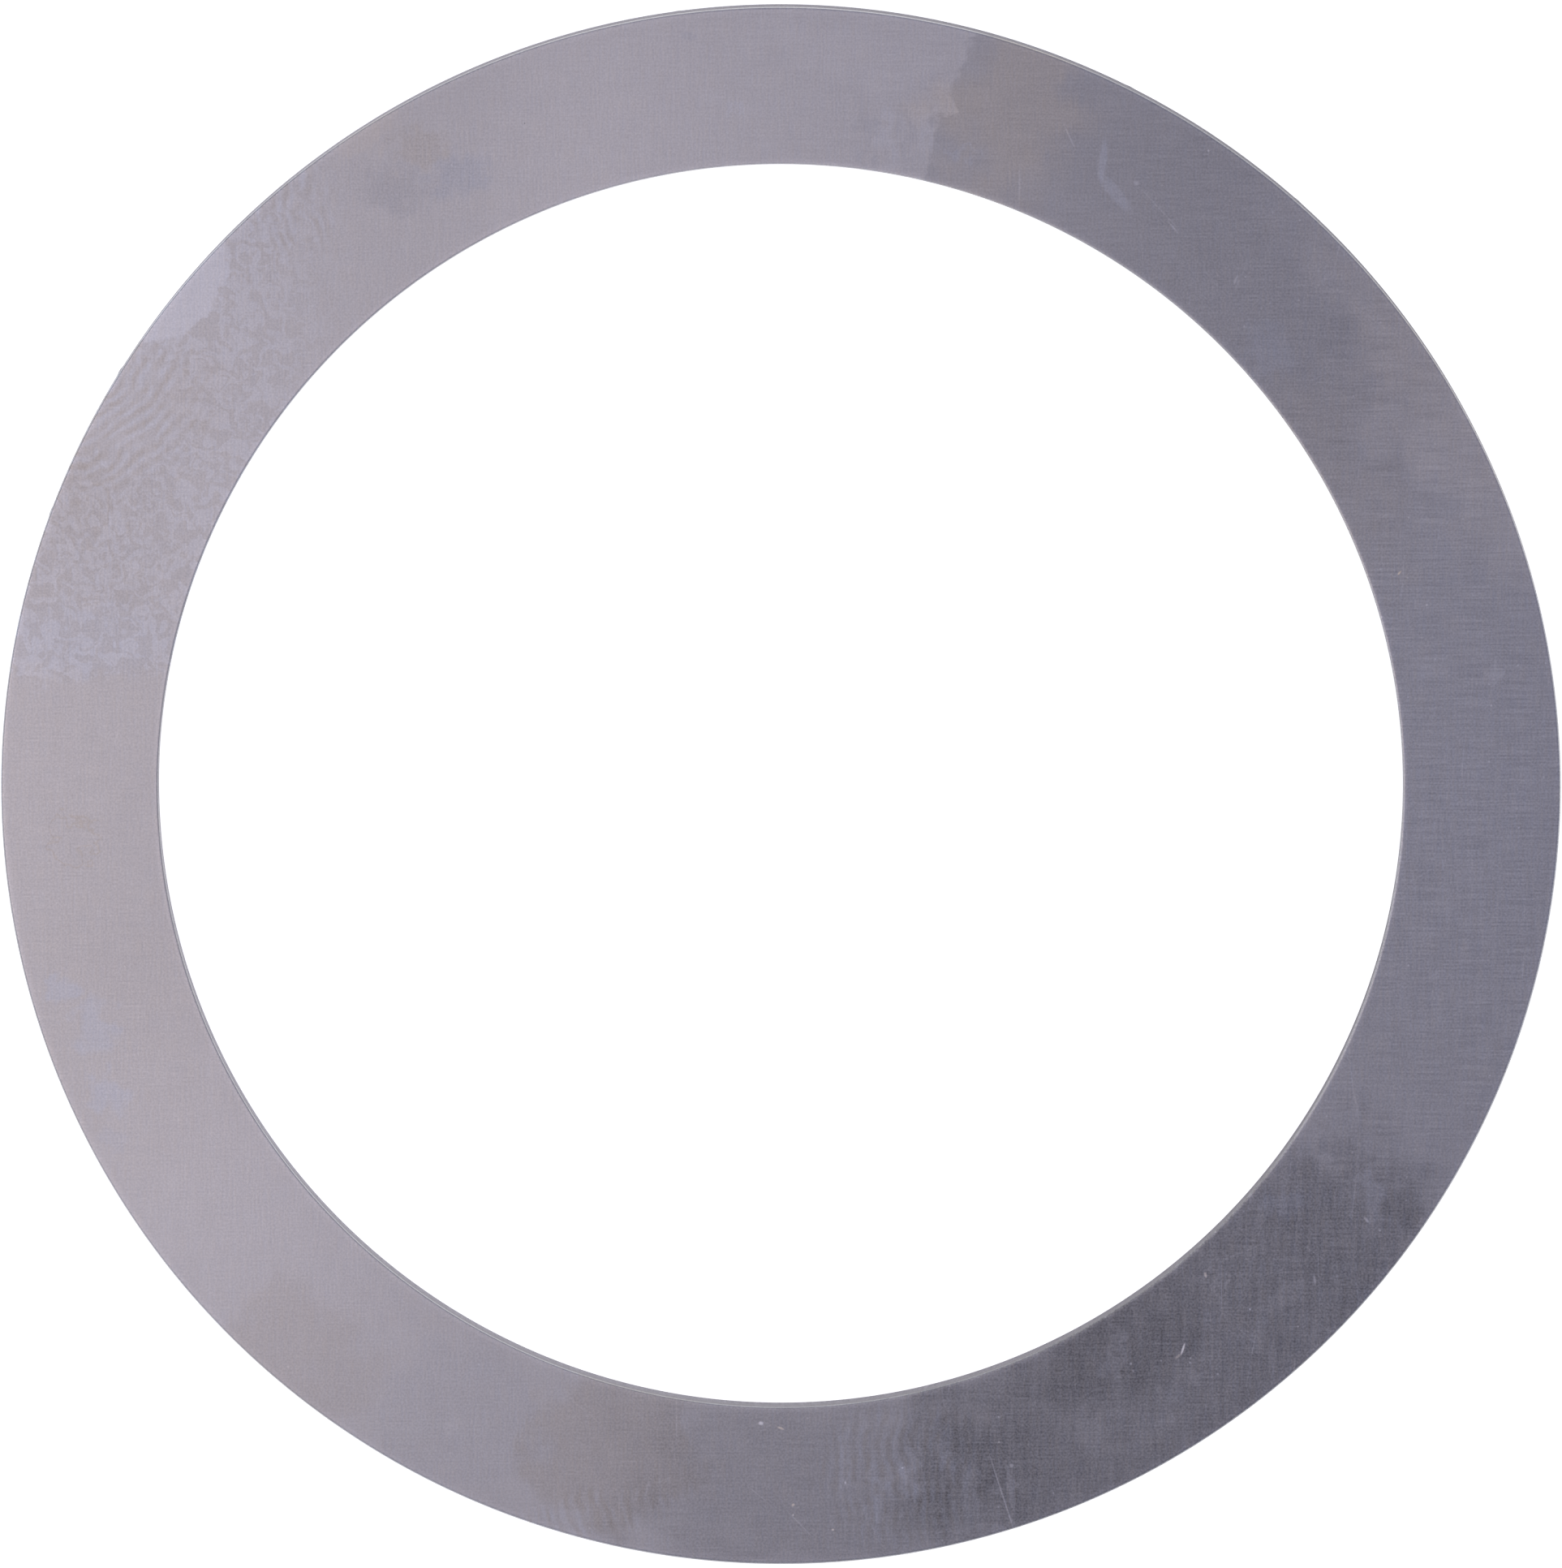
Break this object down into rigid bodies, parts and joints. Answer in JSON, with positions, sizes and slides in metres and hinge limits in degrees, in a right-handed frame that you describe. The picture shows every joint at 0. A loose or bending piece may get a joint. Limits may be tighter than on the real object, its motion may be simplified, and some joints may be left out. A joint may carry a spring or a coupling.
{
  "type": "flat washer",
  "caption": "Plain flat steel ring with a wide centre hole and a narrow face, used as a spacer or supporting ring on a shaft.",
  "frame": {"origin": "centre of the hole at the under face", "axes": "+Z along the hole's axis, from the under face to the punched (upper) face; X and Y lie in the faces"},
  "size_m": [0.0628, 0.0628, 0.003],
  "materials": {
    "steel": "satin, cold rolled, handled"
  },
  "bodies": {
    "root": {"washer": "steel"}
  },
  "joints": []
}
